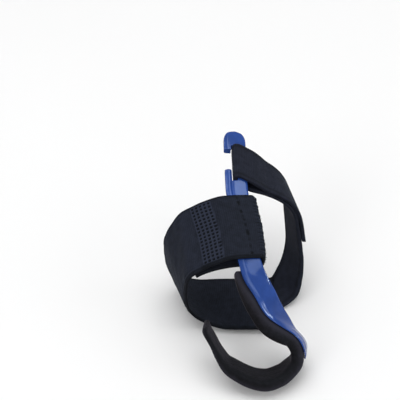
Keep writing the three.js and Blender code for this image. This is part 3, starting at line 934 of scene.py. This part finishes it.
class BRACE_OT_toe_cradle(bpy.types.Operator):
    """Make the foam cradle that lines the lever's tongue and curls under to its free end."""

    bl_idname = "brace.toe_cradle"
    bl_label = "Toe cradle"

    END_ROUND = 2.2
    END_RINGS = 12
    MIDDLE_RINGS = 230
    ROUND_POINTS = 56
    SIDE_POWER = 0.34
    FACE_POWER = 0.5
    CROWN = 0.35
    SHADOW_TONE = 0.16
    RIM_SHEEN_TONE = 0.85
    EASE_PASSES = 12

    def execute(self, context):
        colours = context.scene.brace_colours
        turn = np.linspace(0, 2 * math.pi, self.ROUND_POINTS + 1)[:-1]
        c, s = np.cos(turn), np.sin(turn)
        side, face = np.sign(c) * np.abs(c) ** self.SIDE_POWER, np.sign(s) * np.abs(s) ** self.FACE_POWER
        curve = self.END_ROUND * (1 - np.cos(np.linspace(0.05, math.pi / 2, self.END_RINGS)))
        end = LEVER_LENGTH - PAD_END_TRIM
        middle = np.linspace(PAD_START + self.END_ROUND, end - self.END_ROUND, self.MIDDLE_RINGS)
        rings, tone = [], []
        for at in [*(PAD_START + curve[:-1]), *middle, *(end - curve[-2::-1])]:
            top = PAD_RAISE * bend_share(at) - GAP
            low = -GAP - LEVER.read("pad", at) * PAD_THICKNESS
            half_height = (top - low) / 2
            width = LEVER.read("wide", at) * PAD_WIDTH
            near = min(1.0, (at - PAD_START) / self.END_ROUND, (end - at) / self.END_ROUND)
            trim = 1 - math.sqrt(1 - (1 - near) ** 2)
            half = width / 2 - self.END_ROUND * trim
            across = side * half
            up = face * half_height * (1 - 0.75 * trim)
            crown = self.CROWN * (1 - (across / (width / 2)) ** 2)
            soft = 0.1 * np.sin(at * 0.7 + across * 0.3) + 0.07 * np.sin(at * 1.9 - across * 0.8)
            up = np.where(up < 0, up - 0.4 * crown + 0.5 * soft, up)
            inset = -PAD_LIP * max(0.0, 1 - at / PAD_LIP_LENGTH)
            edge, back, out = lever_frame(at)
            centre = edge + back * (inset + width / 2) + out * (low + top) / 2
            rings.append([tuple(centre - back * float(a) + out * float(b)) for a, b in zip(across, up)])
            # Painted light on the foam: dark over the inner part as a painted shadow from the toe, and
            # lighter toward the lower outer rim as a painted sheen
            shown = smooth(-0.3, 1.0, up / half_height) * smooth(0.2, 0.9, across / half)
            tone.append(self.SHADOW_TONE + self.RIM_SHEEN_TONE * shown)
        ends = self.END_RINGS + 1
        points = eased(np.array(rings), ends, ends, self.EASE_PASSES)
        piece = mesh_piece("toe_cradle_foam", points, skinned_foam(colours.foam))
        keep_tone(piece.data, tone)
        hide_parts("toe_pad")
        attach(piece, "root")
        return {"FINISHED"}


# Width of the head by the length from its top
HEAD_SHAPE = Table(
    "at wide",
    [(0, 0.3), (0.3, 0.42), (0.8, 0.56), (1.6, 0.72), (2.7, 0.86), (4, 0.95), (5.6, 1)],
)
HEAD_RINGS = (0, 0.1, 0.25, 0.45, 0.7, 1, 1.4, 1.9, 2.5, 3.2, 4, 5, 6)
ARM_STRETCH = math.hypot(1, INSTEP_SLOPE)
SLOT_HALF = (NARROW_STRAP_WIDTH / 2 + SLOT_END_ROOM) / ARM_STRETCH
SLOT_TOP = NARROW_STRAP_COURSE + SLOT_HALF
SLOT_BOTTOM = NARROW_STRAP_COURSE - SLOT_HALF
HEAD_TOP = SLOT_TOP + HEAD_MARGIN
SLOT_OUTER = -ARM_WIDTH / 2 + SLOT_BAR_WIDTH

# The rib along the arm's inner edge and the groove beside it
RIB_INNER = 2.6
RIB_OUTER = 3.3
GROOVE_PLACE = 3.6
GROOVE_WIDTH = 0.5
FACE_POINTS = 34


def lever_section(width, thickness, rib, chamfer, reach, top_drop):
    """Places (across, up) of the lever's section: across runs from the outer edge to the inner one."""
    half = width / 2
    soft = min(0.8, thickness * 0.3)
    bend = np.linspace(0, math.pi / 2, CORNER_POINTS)
    across = np.linspace(-half + soft, half - soft, FACE_POINTS)
    inner = half - across
    outer = across + half
    up = np.full_like(across, thickness)
    up += rib * (smooth(RIB_OUTER, RIB_INNER, inner) - 0.5 * groove(inner, GROOVE_PLACE, GROOVE_WIDTH))
    up -= chamfer * smooth(reach, 0.0, inner) + 0.35 * smooth(1.0, 0.0, outer)
    up -= top_drop
    low, high = up[0], up[-1]
    right = [(-half + soft - soft * math.sin(a), soft - soft * math.cos(a)) for a in bend]
    right += [(-half + soft - soft * math.cos(a), low - soft + soft * math.sin(a)) for a in bend[:-1]]
    left = [(half - soft + soft * math.sin(a), high - soft + soft * math.cos(a)) for a in bend[1:]]
    left += [(half - soft + soft * math.cos(a), soft - soft * math.sin(a)) for a in bend]
    return right + list(zip(across, up)) + left


class BRACE_OT_lever(bpy.types.Operator):
    """Make the moulded lever: its slotted head, its arm and its thinning tongue."""

    bl_idname = "brace.lever"
    bl_label = "Lever"

    HEAD_DROP = 0.9
    EDGE_CHAMFER = 0.5
    CHAMFER_REACH = 2.0
    TIP_THINNING = 0.6
    TIP_WIDTH = 0.25
    HEAD_STEP = 0.7
    ARM_STEP = 0.8
    TONGUE_STEP = 0.55
    TIP_STEP = 0.2
    TIP_RINGS = 12
    EASE_PASSES = 40
    SOFT_EDGE = 0.5
    CUT_LOW = -2
    CUT_HIGH = 11
    CUT_RINGS = 8

    def arm_frame(self, y):
        """The middle of the arm's underside at y, the way across it and the way up."""
        left, right = FORM.at(y, 1, PLASTIC_UNDERSIDE), FORM.at(y, -1, PLASTIC_UNDERSIDE)
        across = Vector(left - right).normalized()
        ahead = FORM.at(y - 1, 0, PLASTIC_UNDERSIDE) - FORM.at(y + 1, 0, PLASTIC_UNDERSIDE)
        out = across.cross(Vector(ahead).normalized()).normalized()
        if out.z < 0:
            out.negate()
        return Vector(FORM.at(y, 0, PLASTIC_UNDERSIDE)), across, out

    def arm_rings(self, rib):
        """Rings of the head and the arm: a frame, then the section's measures."""
        plain = (self.EDGE_CHAMFER, self.CHAMFER_REACH)
        for at in HEAD_RINGS:
            width = ARM_WIDTH * HEAD_SHAPE.read("wide", at)
            drop = self.HEAD_DROP * float(1 - smooth(0.0, 1.5, at))
            yield (*self.arm_frame(HEAD_TOP - at), width, PLASTIC_THICKNESS, 0.0, *plain, drop)
        y = HEAD_TOP - HEAD_RINGS[-1] - self.HEAD_STEP
        while y > ARM_END:
            ribbed = rib * float(smooth(SLOT_TOP - 2, SLOT_TOP - 5, y) * smooth(ARM_END, -8.0, y))
            yield (*self.arm_frame(y), ARM_WIDTH, PLASTIC_THICKNESS, ribbed, *plain, 0.0)
            y -= self.ARM_STEP

    def tongue_rings(self):
        """Rings of the tongue, which thins and ends in a round tip."""
        at = TONGUE_START
        while at <= TONGUE_END:
            bend = bend_share(at)
            full = LEVER.read("wide", at) * TONGUE_WIDTH - 2 * TONGUE_TRIM * bend
            left = TONGUE_END - at
            near = min(1.0, left / TIP_LENGTH)
            rounding = math.sqrt(1 - (1 - near) ** 2)
            width = full * (self.TIP_WIDTH + (1 - self.TIP_WIDTH) * rounding)
            thin = float(smooth(THIN_FROM, THIN_FROM + THIN_OVER, at))
            thickness = PLASTIC_THICKNESS + (TIP_THICKNESS - PLASTIC_THICKNESS) * thin
            near_tip = float(smooth(9.0, 0.0, left))
            thickness -= self.TIP_THINNING * near_tip
            edge, back, out = lever_frame(at)
            inset = TONGUE_INSET + TONGUE_TRIM * bend
            centre = edge + back * (inset + full / 2) + out * PAD_RAISE * bend
            chamfer = self.EDGE_CHAMFER + 0.3 * float(smooth(0.0, 14.0, at))
            chamfer -= 0.2 * near_tip
            reach = min(self.CHAMFER_REACH + 5.0 * float(smooth(34.0, 44.0, at)), 0.7 * width)
            yield centre, -back, out, width, thickness, 0.0, chamfer, reach, 0.0
            at += self.TONGUE_STEP if left > 3 else self.TIP_STEP

    def cutter(self, name, high, low, left, right):
        """A cutter through the plastic between two lengths along the arm and two places across it."""
        rings = []
        corners = [(s, self.CUT_LOW) for s in (left, right)] + [(s, self.CUT_HIGH) for s in (right, left)]
        for y in np.linspace(high, low, self.CUT_RINGS):
            rings.append([FORM.at(y, s, n) for s, n in corners])
        return mesh_piece(name, np.array(rings), bpy.data.materials["moulded_plastic"])

    def execute(self, context):
        material = moulded_plastic(context.scene.brace_colours.plastic)
        rings = []
        rib = context.scene.brace_sizes.rib_height / MM
        for centre, across, out, *measures in (*self.arm_rings(rib), *self.tongue_rings()):
            section = lever_section(*measures)
            rings.append([tuple(centre + across * float(a) + out * float(b)) for a, b in section])
        strap_front = sum(1 for ring in rings if ring[0][1] > ARM_END + 4)
        points = eased(np.array(rings), strap_front, self.TIP_RINGS, self.EASE_PASSES)
        piece = mesh_piece("lever_moulding", points, material)
        mouth = SLOT_TOP - HOOK_TIP
        cutters = [
            self.cutter("slot_cutter", SLOT_TOP, SLOT_BOTTOM, SLOT_OUTER + SLOT_WIDTH, SLOT_OUTER),
            self.cutter("mouth_cutter", mouth, mouth - SLOT_MOUTH, ARM_WIDTH, SLOT_OUTER + SLOT_WIDTH / 2),
        ]
        for cutter in cutters:
            cut = piece.modifiers.new("cut", "BOOLEAN")
            cut.operation, cut.solver, cut.object = "DIFFERENCE", "EXACT", cutter
        settle(piece)
        for cutter in cutters:
            bpy.data.objects.remove(cutter)
        bevel = piece.modifiers.new("soft_edges", "BEVEL")
        bevel.width, bevel.segments, bevel.limit_method = self.SOFT_EDGE * MM, 3, "ANGLE"
        bevel.angle_limit = math.radians(55)
        settle(piece)
        for polygon in piece.data.polygons:
            polygon.use_smooth = True
        weighted = piece.modifiers.new("even_shading", "WEIGHTED_NORMAL")
        weighted.keep_sharp = False
        settle(piece)
        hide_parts("splint")
        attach(piece, "root")
        return {"FINISHED"}


class BRACE_OT_stage(bpy.types.Operator):
    """Make the pale floor, the soft studio light and the camera."""

    bl_idname = "brace.stage"
    bl_label = "Stage"

    # Names, places and sizes in metres, and radiances of the square lamps, which face the brace
    SOFTBOXES = (
        ("overhead_softbox", (-0.05, 0.1, 1.05), 1.0, 2.07),
        ("front_softbox", (-0.75, -0.85, 0.8), 0.6, 2.65),
        ("side_softbox", (0.95, -0.2, 0.55), 0.6, 1.24),
    )
    REFLECTIONS = (
        ("arm_reflection", (0.06, 0.17, 1.0), 0.3, 9.0),
        ("tongue_reflection", (0.2, -0.27, 0.89), 0.5, 4.4),
        ("rim_reflection", (-0.62, 0.2, 0.74), 0.3, 12.0),
        ("edge_reflection", (0.78, -0.26, 0.37), 0.2, 50.0),
    )
    SOFTBOX_COLOUR = (1, 1, 1)
    REFLECTION_COLOUR = (0.72, 0.87, 1)
    WORLD_STRENGTH = 0.55
    FLOOR_HALF = 4.0
    SENSOR_WIDTH = 36.0
    LENS = 127.26
    CAMERA_PLACE = (-0.02287, -0.4813, 0.5087)
    CAMERA_AIM = (-0.02287, 0.01372, 0.01372)

    def lamp(self, name, place, size, radiance, mirrored):
        """A lamp that only lights the brace, or one that only shows in its glossy faces."""
        light = bpy.data.lights.new(name, "AREA")
        light.shape, light.size, light.energy = "SQUARE", size, math.pi * size * size * radiance
        light.color = self.REFLECTION_COLOUR if mirrored else self.SOFTBOX_COLOUR
        lamp = linked(name, light)
        lamp.location = place
        lamp.rotation_euler = (-Vector(place)).to_track_quat("-Z", "Y").to_euler()
        lamp.visible_glossy, lamp.visible_diffuse = mirrored, not mirrored

    def execute(self, context):
        scene = context.scene
        low = CAD_BOX[0][2] - scene.brace_sizes.floor_drop
        mesh = bpy.data.meshes.new("floor")
        half = self.FLOOR_HALF
        corners = [(-half, -half, low), (half, -half, low), (half, half, low), (-half, half, low)]
        mesh.from_pydata(corners, [], [(0, 1, 2, 3)])
        floor = linked("floor", mesh)
        finish = Finish("pale_floor", Roughness=0.85, Specular_IOR_Level=0.1)
        haze = finish.noise(finish.place(), scale=3.0, detail=2.0)
        base = finish.mix(haze, (0.9, 0.9, 0.9, 1), (0.93, 0.93, 0.93, 1))
        mesh.materials.append(finish.surface(Base_Color=base))

        for softbox in self.SOFTBOXES:
            self.lamp(*softbox, mirrored=False)
        for reflection in self.REFLECTIONS:
            self.lamp(*reflection, mirrored=True)

        world = bpy.data.worlds.new("studio")
        world.use_nodes = True
        background = world.node_tree.nodes["Background"]
        background.inputs["Color"].default_value = (1, 1, 1, 1)
        background.inputs["Strength"].default_value = self.WORLD_STRENGTH
        scene.world = world
        scene.view_settings.view_transform = "Standard"

        data = bpy.data.cameras.new("camera")
        data.sensor_width, data.lens = self.SENSOR_WIDTH, self.LENS
        data.dof.use_dof = False
        camera = linked("camera", data)
        camera.location = self.CAMERA_PLACE
        aim = Vector(self.CAMERA_AIM)
        camera.rotation_euler = (aim - camera.location).to_track_quat("-Z", "Y").to_euler()
        scene.camera = camera
        return {"FINISHED"}


class BRACE_PT_pieces(bpy.types.Panel):
    """Lists the brace's pieces, sizes and colours."""

    bl_idname = "BRACE_PT_pieces"
    bl_label = "Bunion corrector"
    bl_space_type = "VIEW_3D"
    bl_region_type = "UI"
    bl_category = "Brace"

    def draw(self, context):
        for operator in PIECES:
            self.layout.operator(operator.bl_idname)
        for group in (context.scene.brace_sizes, context.scene.brace_colours):
            for name in type(group).__annotations__:
                self.layout.prop(group, name)


PIECES = (BRACE_OT_stage, BRACE_OT_lever, BRACE_OT_toe_cradle, BRACE_OT_wide_strap, BRACE_OT_narrow_strap)
CLASSES = (BraceSizes, BraceColours, *PIECES, BRACE_PT_pieces)


def register():
    for cls in CLASSES:
        bpy.utils.register_class(cls)
    bpy.types.Scene.brace_sizes = PointerProperty(type=BraceSizes)
    bpy.types.Scene.brace_colours = PointerProperty(type=BraceColours)


def unregister():
    del bpy.types.Scene.brace_colours
    del bpy.types.Scene.brace_sizes
    for cls in reversed(CLASSES):
        bpy.utils.unregister_class(cls)


def main():
    register()
    bpy.ops.brace.stage()
    bpy.ops.brace.lever()
    bpy.ops.brace.toe_cradle()
    bpy.ops.brace.wide_strap()
    bpy.ops.brace.narrow_strap()


if __name__ == "__main__":
    main()
